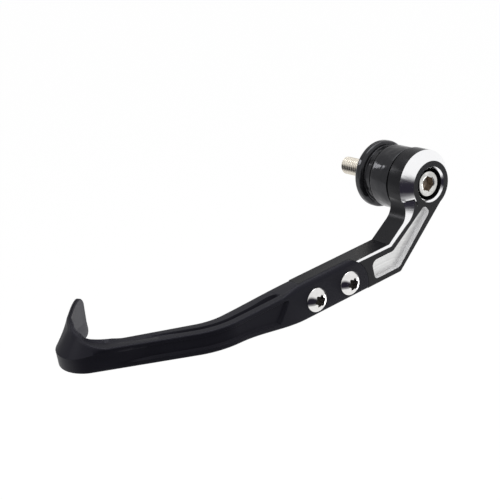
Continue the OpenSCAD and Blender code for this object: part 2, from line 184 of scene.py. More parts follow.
def ring_mesh(name: str, points: np.ndarray) -> bpy.types.Mesh:
    """Closes a grid of rings into a solid skin.

    Each end ring is joined to its own middle, so the skin has no hole.

    Args:
        name: The mesh's name.
        points: Grid of shape (rings, around, 3) in millimetres.

    Returns:
        The mesh, in metres, with outward faces.
    """
    around = points.shape[1]
    ends = [np.repeat(points[k].mean(axis=0)[None, None], around, axis=1) for k in (0, -1)]
    grid = np.concatenate([ends[0], points, ends[1]], axis=0)
    mesh = bpy.data.meshes.new(name)
    mesh.from_pydata((grid.reshape(-1, 3) * MM).tolist(), [], quads(len(grid), around).tolist())
    tidy(mesh)
    return mesh


def prism(name: str, outline: np.ndarray, x0: float, x1: float) -> bpy.types.Object:
    """Makes a straight prism along X over a flat outline of (y, z) points.

    Args:
        name: The object's name.
        outline: The outline's points in millimetres.
        x0: Start of the prism in millimetres.
        x1: End of the prism in millimetres.

    Returns:
        The prism as an object in the scene.
    """
    n = len(outline)
    rings = [np.column_stack([np.full(n, x), outline]) for x in (x0, x1)]
    faces = quads(2, n).tolist() + [list(range(n)), list(range(2 * n - 1, n - 1, -1))]
    mesh = bpy.data.meshes.new(name)
    mesh.from_pydata((np.concatenate(rings) * MM).tolist(), [], faces)
    tidy(mesh)
    return place(name, mesh)


def place(name: str, data: bpy.types.ID) -> bpy.types.Object:
    """Puts a mesh, a lamp or a camera into the scene as an object at the origin."""
    obj = bpy.data.objects.new(name, data)
    bpy.context.scene.collection.objects.link(obj)
    return obj


def cut(body: bpy.types.Object, tools: list[bpy.types.Object]) -> None:
    """Cuts each tool out of a body for good, and deletes the tools."""
    for tool in tools:
        step = body.modifiers.new("cut", "BOOLEAN")
        step.operation = "DIFFERENCE"
        step.solver = "MANIFOLD"
        step.object = tool
    depsgraph = bpy.context.evaluated_depsgraph_get()
    done = bpy.data.meshes.new_from_object(body.evaluated_get(depsgraph))
    body.modifiers.clear()
    body.data = done
    for tool in tools:
        bpy.data.objects.remove(tool)


def faces_of(mesh: bpy.types.Mesh) -> tuple[np.ndarray, np.ndarray]:
    """Each face's centre, in millimetres, and its normal."""
    found = []
    for key in ("center", "normal"):
        values = np.empty(len(mesh.polygons) * 3, np.float32)
        mesh.polygons.foreach_get(key, values)
        found.append(values.reshape(-1, 3))
    return found[0] / MM, found[1]


def within(
    mesh: bpy.types.Mesh, axis: tuple[float, float], radius: float, start: float, end: float
) -> np.ndarray:
    """Finds the faces in a round space along X.

    Args:
        mesh: The mesh.
        axis: The space's middle in y and z.
        radius: Its radius.
        start: Its lowest x.
        end: Its highest x.

    Returns:
        True for each face whose centre lies in it.
    """
    centre, _ = faces_of(mesh)
    away = np.hypot(centre[:, 1] - axis[0], centre[:, 2] - axis[1])
    return (away < radius) & (centre[:, 0] > start) & (centre[:, 0] < end)


def mount_piece(obj: bpy.types.Object, node: str) -> bpy.types.Object:
    """Lets a piece ride on the part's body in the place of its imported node."""
    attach(obj, "root")
    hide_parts(node)
    return obj


class Value:
    """A number in a material's graph that takes part in Python sums."""

    def __init__(self, graph: Graph, socket: bpy.types.NodeSocket) -> None:
        """Wraps a socket of the graph."""
        self.graph = graph
        self.socket = socket

    def _math(self, operation: str, *terms: object) -> Value:
        """Adds one Math node over the terms and wraps its result."""
        made = self.graph.node("ShaderNodeMath", {"operation": operation}, dict(enumerate(terms)))
        return Value(self.graph, made.outputs[0])

    def __add__(self, other: object) -> Value:
        """self + other"""
        return self._math("ADD", self, other)

    def __radd__(self, other: object) -> Value:
        """other + self"""
        return self._math("ADD", other, self)

    def __mul__(self, other: object) -> Value:
        """self * other"""
        return self._math("MULTIPLY", self, other)

    def __rmul__(self, other: object) -> Value:
        """other * self"""
        return self._math("MULTIPLY", other, self)

    def __pow__(self, other: object) -> Value:
        """self ** other"""
        return self._math("POWER", self, other)

    def highest(self, other: object) -> Value:
        """The greater of self and other."""
        return self._math("MAXIMUM", self, other)

    def between(self, low: float, high: float) -> Value:
        """0 at low and 1 at high, smooth between them and held outside."""
        sockets = {"Value": self, "From Min": low, "From Max": high}
        made = self.graph.node("ShaderNodeMapRange", {"interpolation_type": "SMOOTHSTEP"}, sockets)
        return Value(self.graph, made.outputs["Result"])


class Graph:
    """The node tree of one material, or of the world."""

    def __init__(self, name: str, world: bool = False) -> None:
        """Starts an empty material, or world, of that name."""
        kind = bpy.data.worlds if world else bpy.data.materials
        self.owner = kind.new(name)
        self.owner.use_nodes = True
        self.tree = self.owner.node_tree
        self.tree.nodes.clear()

    def node(
        self,
        kind: str,
        settings: dict[str, object] | None = None,
        sockets: dict[str | int, object] | None = None,
    ) -> bpy.types.Node:
        """Adds a node.

        Args:
            kind: The node's type.
            settings: Its settings, such as a Math node's operation, which are set first.
            sockets: A value, a socket or a Value for each input, by name or number.

        Returns:
            The new node.
        """
        made = self.tree.nodes.new(kind)
        for key, setting in (settings or {}).items():
            setattr(made, key, setting)
        for key, source in (sockets or {}).items():
            self.feed(made.inputs[key], source)
        return made

    def feed(self, socket: bpy.types.NodeSocket, source: object) -> None:
        """Links a socket to a Value or another socket, or sets its value."""
        if isinstance(source, Value):
            self.tree.links.new(source.socket, socket)
        elif isinstance(source, bpy.types.NodeSocket):
            self.tree.links.new(source, socket)
        else:
            socket.default_value = source

    def position(self) -> bpy.types.NodeSocket:
        """The point on the object, in metres."""
        return self.node("ShaderNodeTexCoord").outputs["Object"]

    def axes(self) -> tuple[Value, Value, Value]:
        """The point's three coordinates, in millimetres."""
        parts = self.node("ShaderNodeSeparateXYZ", None, {0: self.position()})
        x, y, z = (Value(self, out) * (1 / MM) for out in parts.outputs)
        return x, y, z

    def noise(self, size_mm: float, detail: float = 2.0, stretch: tuple = (1, 1, 1)) -> Value:
        """Cloudy noise from 0 to 1.

        Args:
            size_mm: Rough size of its blotches.
            detail: Number of finer layers.
            stretch: How much longer a blotch is along each axis.

        Returns:
            The noise's value.
        """
        scale = tuple(1 / (size_mm * MM * s) for s in stretch)
        mapping = self.node("ShaderNodeMapping", None, {"Vector": self.position(), "Scale": scale})
        sockets = {"Vector": mapping.outputs[0], "Scale": 1.0, "Detail": detail}
        return Value(self, self.node("ShaderNodeTexNoise", None, sockets).outputs[0])

    def lines(self, along: Value, pitch_mm: float, detail: float = 3.0) -> Value:
        """Uneven tool marks: noise that changes only with one value.

        Args:
            along: The value, in millimetres, that the marks change with.
            pitch_mm: Rough distance between marks.
            detail: Number of finer layers.

        Returns:
            A value from 0 to 1.
        """
        sockets = {"W": along, "Scale": 1 / pitch_mm, "Detail": detail}
        made = self.node("ShaderNodeTexNoise", {"noise_dimensions": "1D"}, sockets)
        return Value(self, made.outputs[0])

    def tint(self, share: Value, low: tuple, high: tuple) -> bpy.types.NodeSocket:
        """A colour between two colours."""
        sockets = {"Factor": share, 6: (*low, 1.0), 7: (*high, 1.0)}
        return self.node("ShaderNodeMix", {"data_type": "RGBA"}, sockets).outputs[2]

    def bump(self, height: Value, depth_mm: float) -> bpy.types.NodeSocket:
        """A normal from a height that is depth_mm tall at 1."""
        sockets = {"Height": height, "Distance": depth_mm * MM, "Strength": 1.0}
        return self.node("ShaderNodeBump", None, sockets).outputs[0]

    def seen_by(self, *rays: str) -> Value:
        """1 for rays of the named kinds, and 0 for all others."""
        path = self.node("ShaderNodeLightPath").outputs
        found = Value(self, path[rays[0]])
        for ray in rays[1:]:
            found = found.highest(Value(self, path[ray]))
        return found

    def end(
        self, shader: bpy.types.NodeSocket, output: str = "ShaderNodeOutputMaterial"
    ) -> bpy.types.Material | bpy.types.World:
        """Sends a shader to the output, and gives back the material or world."""
        self.node(output, None, {"Surface": shader})
        return self.owner

    def finish(self, sockets: dict[str | int, object]) -> bpy.types.Material:
        """Ends the graph in a Principled surface with these inputs."""
        return self.end(self.node("ShaderNodeBsdfPrincipled", None, sockets).outputs[0])


@dataclass(frozen=True)
class Finish:
    """A procedural surface. Each kind says what feeds its inputs."""

    name: str
    dark: tuple
    pale: tuple
    roughness: float

    def make(self) -> bpy.types.Material:
        """Builds the material."""
        g = Graph(self.name)
        return g.finish(self.inputs(g))

    def inputs(self, g: Graph) -> dict[str, object]:
        """What feeds the Principled surface's inputs, by name."""
        raise NotImplementedError


def dress(mesh: bpy.types.Mesh, finishes: list[Finish], numbers: np.ndarray | int = 0) -> None:
    """Gives a mesh its finishes, and each face the number of its own."""
    mesh.materials.clear()
    for finish in finishes:
        mesh.materials.append(finish.make())
    each = np.broadcast_to(numbers, len(mesh.polygons)).astype(np.int32)
    mesh.polygons.foreach_set("material_index", each)


@dataclass(frozen=True)
class AnodisedAlloy(Finish):
    """Black anodised aluminium: satin, with a faint blasted grain."""

    name: str = "black_anodised"
    dark: tuple = (0.0055, 0.0055, 0.0065)
    pale: tuple = (0.009, 0.009, 0.0102)
    roughness: float = 0.24
    uneven: float = 0.07
    specular: float = 0.22
    sheen_tint: tuple = (0.94, 0.94, 1.0, 1.0)
    cloud_mm: float = 7.0
    grain_mm: float = 0.12
    grain_t: float = 0.0012

    def inputs(self, g: Graph) -> dict[str, object]:
        """Slow clouds in colour and gloss, and a fine grain in the surface."""
        cloud = g.noise(self.cloud_mm)
        return {
            "Base Color": g.tint(cloud, self.dark, self.pale),
            "Roughness": self.roughness + self.uneven * cloud,
            "Specular IOR Level": self.specular,
            "Specular Tint": self.sheen_tint,
            "Normal": g.bump(g.noise(self.grain_mm, 1.0), self.grain_t),
        }


@dataclass(frozen=True)
class TurnedAlloy(Finish):
    """Bright aluminium straight from the lathe: fine rings about the bolt's axis."""

    name: str = "turned_alloy"
    dark: tuple = (0.86, 0.86, 0.88)
    pale: tuple = (0.97, 0.97, 0.97)
    roughness: float = 0.11
    uneven: float = 0.08
    metal: float = 1.0
    pitch_mm: float = 0.16
    marks_t: float = 0.002

    def inputs(self, g: Graph) -> dict[str, object]:
        """Marks that change only with the distance from the axis."""
        _, y, z = g.axes()
        marks = g.lines((y * y + z * z) ** 0.5, self.pitch_mm)
        return {
            "Base Color": g.tint(marks, self.dark, self.pale),
            "Metallic": self.metal,
            "Roughness": self.roughness + self.uneven * marks,
            "Normal": g.bump(marks, self.marks_t),
        }


@dataclass(frozen=True)
class MilledAlloy(Finish):
    """Bright aluminium left by an end mill: shallow passes along the bar and a fine grain."""

    name: str = "milled_alloy"
    dark: tuple = (0.56, 0.56, 0.56)
    pale: tuple = (0.95, 0.95, 0.94)
    roughness: float = 0.27
    uneven: float = 0.15
    pass_mm: float = 0.9
    pass_share: float = 0.6
    slope: float = 0.62
    elbow_y: float = 27.0
    waver_mm: float = 6.0
    waver: float = 0.5
    grain_mm: float = 0.25
    grain: float = 0.5
    marks_t: float = 0.012

    def inputs(self, g: Graph) -> dict[str, object]:
        """Passes that change with z, and on the slope with z + slope * y; they waver a little."""
        _, y, z = g.axes()
        across = z + self.slope * y.between(self.elbow_y, 0.0) * y
        passes = g.lines(across + self.waver * g.noise(self.waver_mm), self.pass_mm)
        grain = g.noise(self.grain_mm, 2.0, (1, 3, 1))
        shade = passes * self.pass_share + grain * (1 - self.pass_share)
        return {
            "Base Color": g.tint(shade, self.dark, self.pale),
            "Metallic": 1.0,
            "Roughness": self.roughness + self.uneven * grain,
            "Normal": g.bump(passes + self.grain * grain, self.marks_t),
        }


@dataclass(frozen=True)
class MouldedNylon(Finish):
    """Matt black glass-filled nylon: a fine spark-eroded grain and slow changes of sheen."""

    name: str = "moulded_nylon"
    dark: tuple = (0.0042, 0.0041, 0.0072)
    pale: tuple = (0.0076, 0.0074, 0.0115)
    roughness: float = 0.38
    uneven: float = 0.12
    specular: float = 0.17
    sheen_tint: tuple = (0.86, 0.85, 1.0, 1.0)
    flow_mm: float = 9.0
    grain_mm: float = 0.16
    grain_t: float = 0.0035

    def inputs(self, g: Graph) -> dict[str, object]:
        """Clouds drawn out along the blade, and a fine grain in the surface."""
        flow = g.noise(self.flow_mm, 3.0, (1, 3, 1))
        return {
            "Base Color": g.tint(flow, self.dark, self.pale),
            "Roughness": self.roughness + self.uneven * flow,
            "Specular IOR Level": self.specular,
            "Specular Tint": self.sheen_tint,
            "Normal": g.bump(g.noise(self.grain_mm, 2.0), self.grain_t),
        }


@dataclass(frozen=True)
class GlossyCollar(Finish):
    """Glossy black collar: wavy reflections, as hand-polished plastic has."""

    name: str = "glossy_collar"
    dark: tuple = (0.006, 0.006, 0.007)
    pale: tuple = (0.012, 0.012, 0.013)
    roughness: float = 0.06
    uneven: float = 0.16
    specular: float = 0.42
    sheen_tint: tuple = (0.92, 0.93, 1.0, 1.0)
    wave_mm: float = 5.0
    wave_t: float = 0.55
    smear_mm: float = 2.2

    def inputs(self, g: Graph) -> dict[str, object]:
        """Waves in the surface and the colour, and smears in the gloss."""
        wave = g.noise(self.wave_mm, 1.5)
        smear = g.noise(self.smear_mm, 3.0, (2, 1, 1))
        return {
            "Base Color": g.tint(wave, self.dark, self.pale),
            "Roughness": self.roughness + self.uneven * smear,
            "Specular IOR Level": self.specular,
            "Specular Tint": self.sheen_tint,
            "Normal": g.bump(wave, self.wave_t),
        }


@dataclass(frozen=True)
class Stainless(Finish):
    """Warm stainless steel with fine turning marks along the bolt."""

    name: str = "stainless"
    dark: tuple = (0.55, 0.50, 0.42)
    pale: tuple = (0.80, 0.76, 0.68)
    roughness: float = 0.2
    uneven: float = 0.14
    cloud_mm: float = 2.5
    pitch_mm: float = 0.3
    marks_t: float = 0.002

    def inputs(self, g: Graph) -> dict[str, object]:
        """Marks that change with the place along the axis, and clouds in the colour."""
        x, _, _ = g.axes()
        marks = g.lines(x, self.pitch_mm)
        return {
            "Base Color": g.tint(g.noise(self.cloud_mm), self.dark, self.pale),
            "Metallic": 1.0,
            "Roughness": self.roughness + self.uneven * marks,
            "Normal": g.bump(marks, self.marks_t),
        }


@dataclass(frozen=True)
class PolishedSteel(Finish):
    """Polished steel screw heads, with faint handling marks."""

    name: str = "polished_steel"
    dark: tuple = (0.68, 0.67, 0.66)
    pale: tuple = (0.86, 0.85, 0.84)
    roughness: float = 0.04
    uneven: float = 0.06
    cloud_mm: float = 1.6
    cloud_t: float = 0.004
    marks_mm: float = 0.5

    def inputs(self, g: Graph) -> dict[str, object]:
        """Clouds in the colour and the surface, and small marks in the gloss."""
        cloud = g.noise(self.cloud_mm)
        return {
            "Base Color": g.tint(cloud, self.dark, self.pale),
            "Metallic": 1.0,
            "Roughness": self.roughness + self.uneven * g.noise(self.marks_mm, 3.0, (1, 4, 1)),
            "Normal": g.bump(cloud, self.cloud_t),
        }


@dataclass(frozen=True)
class SocketShade(Finish):
    """Dark steel at the bottom of a driven socket: its dark colour is painted shade for the recess."""

    name: str = "socket_shade"
    dark: tuple = (0.012, 0.011, 0.010)
    pale: tuple = (0.05, 0.045, 0.04)
    roughness: float = 0.35
    uneven: float = 0.2
    cloud_mm: float = 1.2

    def inputs(self, g: Graph) -> dict[str, object]:
        """Clouds in the colour and the gloss, over a dark colour that is painted shade."""
        cloud = g.noise(self.cloud_mm)
        return {
            "Base Color": g.tint(cloud, self.dark, self.pale),
            "Metallic": 1.0,
            "Roughness": self.roughness + self.uneven * cloud,
        }


@dataclass
class Turned:
    """A surface turned about the X axis, whose radius may change round the axis."""

    centre: tuple[float, float] = (0.0, 0.0)
    around: int = 96
    xs: list = field(default_factory=list)
    radii: list = field(default_factory=list)

    def angles(self) -> np.ndarray:
        """Even angles about the axis, from Y towards Z."""
        return np.arange(self.around) * 2 * math.pi / self.around

    def ring(self, x: float | np.ndarray, radius: float | np.ndarray) -> None:
        """Adds a ring at x; radius is one number, or one for each angle."""
        self.xs.append(np.broadcast_to(x, (self.around,)))
        self.radii.append(np.broadcast_to(radius, (self.around,)))

    def profile(self, points: np.ndarray | list) -> None:
        """Adds a round ring for each (x, radius) point."""
        for x, radius in points:
            self.ring(x, radius)

    def grid(self) -> np.ndarray:
        """The grid of points (x, centre + radius * (cos a, sin a))."""
        x, r, a = np.array(self.xs), np.array(self.radii), self.angles()
        y = self.centre[0] + r * np.cos(a)
        z = self.centre[1] + r * np.sin(a)
        return np.stack([x, y, z], axis=-1)

    def solid(self, name: str, sharp_above: float) -> bpy.types.Mesh:
        """The skin from the first ring to the last, closed at both."""
        mesh = ring_mesh(name, self.grid())
        smooth(mesh, sharp_above)
        return mesh

    def tube(self, name: str, sharp_above: float) -> bpy.types.Mesh:
        """The skin from the first ring to the last and back to the first."""
        grid = self.grid()
        grid = np.concatenate([grid, grid[:1]], axis=0)
        mesh = bpy.data.meshes.new(name)
        faces = quads(len(grid), self.around).tolist()
        mesh.from_pydata((grid.reshape(-1, 3) * MM).tolist(), [], faces)
        tidy(mesh)
        smooth(mesh, sharp_above)
        return mesh


def hexagon(angles: np.ndarray, across_flats: float) -> np.ndarray:
    """Radius of a hexagon at each angle: half its width over the cosine to the nearest flat."""
    turn = (angles + math.pi / 6) % (math.pi / 3) - math.pi / 6
    return across_flats / 2 / np.cos(turn)


def star(angles: np.ndarray, across: float, root: float) -> np.ndarray:
    """Radius of a six-lobed star: a wave between its lobes' and its hollows' radius."""
    outer, inner = across / 2, across / 2 * root
    return (outer + inner) / 2 + (outer - inner) / 2 * np.cos(6 * angles)


@dataclass
class MountingArm:
    """The machined arm: black anodised, with its bevels and pocket cut bright afterwards."""

    head_d: float = 29.2
    pocket_t: float = 2.4
    pocket_in: float = 3.2
    mouth_r: float = 9.0
    cone_from: float = -24.5
    cone_to: float = -90.0
    flank_from: float = 12.0
    slope: float = 32.0
    elbow: tuple = (27.5, -17.8)
    # How near a face lies to the surface that it belongs to.
    head_near: float = 0.2
    floor_near: float = 0.05
    wall_near: float = 0.5
    # Parts of a face's normal: along X, outwards from the bolt, and up.
    slant: tuple = (-0.85, -0.5)
    level: float = -0.9
    upright: float = 0.2
    bevel_out: float = 0.66
    flank_up: float = 0.1
    merge_mm: float = 0.002
    flat_within: float = 0.6
    sharp_above: float = 24.0
    break_mm: float = 0.13

    def build(self) -> bpy.types.Object:
        """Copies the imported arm, merges it, sorts its faces by finish and breaks its edges.

        Returns:
            The dressed arm.
        """
        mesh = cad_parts["mounting_arm"].data.copy()
        mesh.name = "machined_arm"
        work = bmesh.new()
        work.from_mesh(mesh)
        bmesh.ops.remove_doubles(work, verts=work.verts, dist=self.merge_mm * MM)
        flat = math.radians(self.flat_within)
        bmesh.ops.dissolve_limit(work, angle_limit=flat, verts=work.verts, edges=work.edges)
        work.to_mesh(mesh)
        work.free()
        obj = place("machined_arm", mesh)
        # The pocket's wall is a pale non-metal that looks white from every side: a painted highlight in
        # place of the cut metal's bright reflection.
        wall = TurnedAlloy("cut_wall_painted_highlight", roughness=0.5, metal=0.0)
        finishes = [AnodisedAlloy(), TurnedAlloy(), MilledAlloy(), wall]
        dress(mesh, finishes, self.finish_of(mesh))
        self.soften(obj)
        return mount_piece(obj, "mounting_arm")

    def finish_of(self, mesh: bpy.types.Mesh) -> np.ndarray:
        """Finds each face's finish from where it lies and which way it faces.

        The turned faces slant towards the front, and lie on the head's bevel, in the bolt's
        mouth or along the flank's upper edge. The pocket's floor is the face at its depth, and
        its wall is made of the upright faces at half that depth, well inside the bar's edge.

        Args:
            mesh: The merged arm.

        Returns:
            The ArmFace number of each face.
        """
        centre, normal = faces_of(mesh)
        depth = centre[:, 0] - cad_box("mounting_arm")[0][0]
        radius = np.hypot(centre[:, 1], centre[:, 2])
        outward = (normal[:, 1:] * centre[:, 1:]).sum(axis=1) / np.maximum(radius, 1e-6)
        slanted = (normal[:, 0] < self.slant[1]) & (normal[:, 0] > self.slant[0])
        angle = np.degrees(np.arctan2(centre[:, 2], centre[:, 1]))
        round_head = (angle > self.cone_from) | (angle < self.cone_to)
        on_head = radius < self.head_d / 2 + self.head_near
        bevel = on_head & (outward > self.bevel_out) & round_head
        flank = (normal[:, 2] > self.flank_up) & (radius > self.flank_from)
        turned = slanted & (bevel | (radius < self.mouth_r) | flank)
        floor = (np.abs(depth - self.pocket_t) < self.floor_near) & (normal[:, 0] < self.level)
        slope = math.radians(self.slope)
        below_slope = (self.elbow - centre[:, 1:]) @ np.array([math.sin(slope), math.cos(slope)])
        below = np.maximum(self.elbow[1] - centre[:, 2], below_slope)
        half_deep = np.abs(depth - self.pocket_t / 2) < self.wall_near
        upright = np.abs(normal[:, 0]) < self.upright
        wall = half_deep & upright & (below > self.pocket_in - self.wall_near)
        kinds = [ArmFace.WALL, ArmFace.FLOOR, ArmFace.TURNED]
        return np.select([wall, floor, turned], kinds, ArmFace.ANODISED)

    def soften(self, obj: bpy.types.Object) -> None:
        """Gives the arm's edges a small break that catches the light."""
        smooth(obj.data, self.sharp_above)
        edge = obj.modifiers.new("edge_break", "BEVEL")
        edge.width = self.break_mm * MM
        edge.segments = 2
        edge.limit_method = "ANGLE"
        edge.angle_limit = math.radians(self.sharp_above)
        edge.harden_normals = True


@dataclass(frozen=True)
class Lines:
    """The main lines of the guard's section, each with one value for each length.

    Distances are measured inwards from the front line, and heights along Z. The lines are the
    place of the front face, the thickness, the lowest and highest edge, the top's rear edge,
    the fold below the fin, how far the top leans inwards, the radius of the top's front
    corner and of the other corners, and the channel's two edges.
    """

    face: np.ndarray
    thick: np.ndarray
    low: np.ndarray
    top: np.ndarray
    rear_top: np.ndarray
    crease: np.ndarray
    lean: np.ndarray
    top_round: np.ndarray
    edge_round: np.ndarray
    channel_low: np.ndarray
    channel_top: np.ndarray

    def leaning(self, points: list) -> list:
        """Moves points inwards in step with their height above the channel."""
        reach = self.top - self.channel_top
        return [(u + self.lean * (z - self.channel_top) / reach, z) for u, z in points]


@dataclass
class LeverGuard:
    """The moulded guard: a cheek over the arm's tongue, a bent blade and a curled fin.

    A section is swept along the front face's line. The section's corners, channel and slot
    are worked out for all lengths along the line at once.
    """

    bar_t: float = 11.8
    bar_h: float = 14.0
    tongue_t: float = 6.2
    bend_a: float = 37.0
    bend_r: float = 30.0
    run_l: float = 52.0
    curl_r: float = 16.5
    end_a: float = 155.0
    end_l: float = 15.5
    bend_y: float = 119.6
    blade_t: float = 10.8
    root_t: float = 8.4
    fin_t: float = 2.3
    blade_h: float = 9.6
    blade_drop: float = 0.9
    blade_back: float = 1.3
    taper_l: float = 34.0
    fin_rise: float = 8.7
    fin_ease: float = 1.3
    root_up: float = 1.0
    fin_lead: float = 7.0
    fin_lean: float = 7.6
    end_lean: float = 0.7
    fin_round: float = 3.0
    crease_least: float = 1.0
    crease_drop: float = 3.2
    crease_gap: float = 0.3
    cheek_round: float = 2.6
    blade_round: float = 0.8
    # Where the fin is thin, corners shrink, and the top and the slot keep to a share of it.
    thin_below: float = 4.0
    top_share: float = 0.4
    slot_share: float = 0.3
    # The channel between its two flanges, and the slot in the upper face.
    flange_h: float = 2.6
    upper_flange_h: float = 1.7
    low_least: float = 1.2
    top_least: float = 0.2
    channel_t: float = 1.2
    channel_slant: float = 5.6
    channel_ramp: float = 1.2
    # Its rows: shares of its height from and to, and their count.
    channel_rows: tuple = (0.08, 0.92, 9)
    channel_inset: tuple = (0.3, 0.5)
    # Points of its edges: share of its depth, and height from the edge.
    channel_foot: tuple = ((0.0, -0.55), (0.12, -0.45), (0.88, 0.2), (1.0, 0.4))
    channel_head: tuple = ((1.0, -0.6), (0.88, -0.4), (0.12, -0.1), (0.0, 0.0))
    slot_w: float = 2.2
    slot_t: float = 1.8
    slot_in: float = 3.7
    # Points of a side: distance past the slot's edge, and share of its depth.
    slot_side: tuple = ((-0.1, 0.0), (0.05, 0.15), (0.35, 0.85), (0.6, 1.0))
    mouth_w: float = 1.1
    # Angles round the curl.
    thin_turn: float = 20.0
    lean_turn: float = 43.0
    back_turn: float = 83.0
    # Lengths past the fin's root.
    climb_from: float = -6.0
    climb_full: float = 8.0
    root_full: float = 2.0
    root_fade: tuple = (6.0, 22.0)
    # Lengths past the taper's start.
    round_fade: float = 12.0
    channel_lead: float = 7.4
    slot_from: float = 8.0
    slot_full: float = 10.0
    mouth_full: float = 12.0
    mouth_end: float = 24.0
    # Lengths short of the curl.
    thin_lead: float = 9.0
    channel_end: tuple = (26.0, 8.0)
    slot_end: float = 4.0
    # The arm's tongue and the cuts made for it.
    lap_r: float = 12.0
    lap_gap: float = 0.15
    seam: float = 0.15
    tongue_over: float = 6.5
    shoulder_l: float = 10.4
    shoulder_drop: float = 2.0
    screw_hole_r: float = 3.2
    overrun: float = 1.0
    clear: float = 5.0
    sharp_above: float = 32.0
    # Stations in each stretch, and at the tip.
    counts: tuple = (8, 150, 24, 30, 90, 16)
    tip_count: int = 14

    def __post_init__(self) -> None:
        """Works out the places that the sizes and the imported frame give."""
        low, _ = cad_box("lever_guard")
        screws = [cad_box(f"{end.value}_guard_screw") for end in End]
        centres = [(s[0] + s[1]) / 2 for s in screws]
        self.screws = [(c[1], c[2]) for c in centres]
        self.front_x = cad_box("mounting_arm")[0][0]
        self.low_z = low[2]
        self.top_z = self.low_z + self.bar_h
        self.lap_x = self.front_x + self.bar_t - self.tongue_t
        self.tongue_y = self.screws[1][0] + self.tongue_over - self.lap_r
        self.shoulder = (
            self.screws[0][0] - self.shoulder_l + self.lap_r,
            self.screws[0][1] - self.shoulder_drop,
        )
        self.start_y = self.screws[0][0] - self.shoulder_l - self.overrun
        turn = math.radians(self.bend_a)
        tangent = self.bend_r * math.tan(turn / 2)
        self.first = self.bend_y - tangent - self.start_y
        self.bend_end = self.first + self.bend_r * turn
        self.curl = self.bend_end + self.run_l - tangent
        self.curl_end = self.curl + self.curl_r * math.radians(self.end_a - self.bend_a)
        self.total = self.curl_end + self.end_l
        self.taper = self.tongue_y + self.lap_r + self.lap_gap - self.start_y

    def stations(self) -> np.ndarray:
        """Lengths along the front face, even in each stretch and crowded at the rounded tip."""
        root, tip = self.curl - self.fin_lead, self.total - self.fin_round
        ends = [0.0, self.taper, self.first, self.bend_end, root, self.curl_end, tip]
        spans = zip(ends, ends[1:], self.counts)
        even = [np.linspace(start, end, count)[:-1] for start, end, count in spans]
        quarter = np.radians(np.linspace(0, 90, self.tip_count))
        return np.concatenate([*even, self.total - self.fin_round * (1 - np.sin(quarter))])

    def turned(self, angle: float) -> float:
        """Length along the line at which the curl has turned by an angle in degrees."""
        return self.curl + self.curl_r * math.radians(angle)

    def line(self, s: np.ndarray) -> tuple[np.ndarray, np.ndarray]:
        """Place and heading of the front face's line.

        It runs straight forward, round the bend, straight again, round the curl and straight
        along the fin: each stretch starts where the one before it ends.

        Args:
            s: Lengths along the line.

        Returns:
            The (x, y) places and the headings, as turns inboard from forward, in radians.
        """
        turn, end = math.radians(self.bend_a), math.radians(self.end_a)
        bend = np.clip((s - self.first) / self.bend_r, 0, turn)
        curl = np.clip((s - self.curl) / self.curl_r, 0, end - turn)
        heading = bend + curl
        x = self.front_x + self.blade_back + self.bend_r * (1 - np.cos(bend))
        y = self.start_y + np.minimum(s, self.first) + self.bend_r * np.sin(bend)
        run = np.clip(s - self.bend_end, 0, self.curl - self.bend_end)
        x = x + run * math.sin(turn) + self.curl_r * (math.cos(turn) - np.cos(turn + curl))
        y = y + run * math.cos(turn) + self.curl_r * (np.sin(turn + curl) - math.sin(turn))
        rest = np.maximum(0, s - self.curl_end)
        return np.stack([x + rest * math.sin(end), y + rest * math.cos(end)], axis=-1), heading

    def lines(self, s: np.ndarray) -> Lines:
        """The main lines of the section at each length.

        All lines blend from the cheek's to the blade's along the taper. The blade thins evenly
        along its run, and the fin thins from its root. The fin's top climbs by 1 - (1 - u)^e
        of the share u of its length, leans inwards, and ends in a quarter round.

        Args:
            s: Lengths along the line.

        Returns:
            The lines.
        """
        taper = ease(self.taper, self.taper + self.taper_l, s)
        face = -self.blade_back * (1 - taper)
        along = np.clip((s - self.first) / self.run_l, 0, None)
        blade = mix(self.bar_t, mix(self.blade_t, self.root_t, along), taper)
        thin_from = self.curl - self.thin_lead
        fin = mix(self.root_t, self.fin_t, ease(thin_from, self.turned(self.thin_turn), s))
        thick = np.where(s < thin_from, blade, fin)
        to_end = np.maximum(0, self.fin_round - self.total + s)
        tip = self.fin_round - np.sqrt(np.maximum(0, self.fin_round**2 - to_end**2))
        high = mix(self.top_z, self.top_z - self.blade_drop, taper)
        foot = mix(self.low_z, self.top_z - self.blade_drop - self.blade_h, taper)
        root = self.curl - self.fin_lead
        up = np.clip((s - root) / (self.total - root), 0, 1)
        start = root + self.climb_from
        climb = (1 - (1 - up) ** self.fin_ease) * ease(start, root + self.climb_full, s)
        top = high + self.fin_rise * climb - tip
        fade = 1 - ease(root + self.root_fade[0], root + self.root_fade[1], s)
        root_up = self.root_up * ease(start, root + self.root_full, s) * fade
        fold = ease(root, self.turned(self.lean_turn), s)
        crease = high - self.crease_least - (self.crease_drop - self.crease_least) * fold
        straight = ease(self.turned(self.back_turn), self.total, s)
        cheek_end = ease(self.taper, self.taper + self.round_fade, s)
        wide = mix(self.cheek_round, self.blade_round, cheek_end)
        top_round = np.minimum(wide, thick * self.top_share)
        upper = np.maximum(self.upper_flange_h, top_round + self.top_least)
        return Lines(
            face=face,
            thick=thick,
            low=foot + tip,
            top=top,
            rear_top=top + root_up,
            crease=crease,
            lean=mix(self.fin_lean * fold, self.end_lean, straight),
            top_round=top_round,
            edge_round=self.blade_round * np.minimum(1, thick / self.thin_below),
            channel_low=np.maximum(foot + self.flange_h, foot + tip + self.low_least),
            channel_top=np.minimum(crease - self.top_least, top - upper),
        )

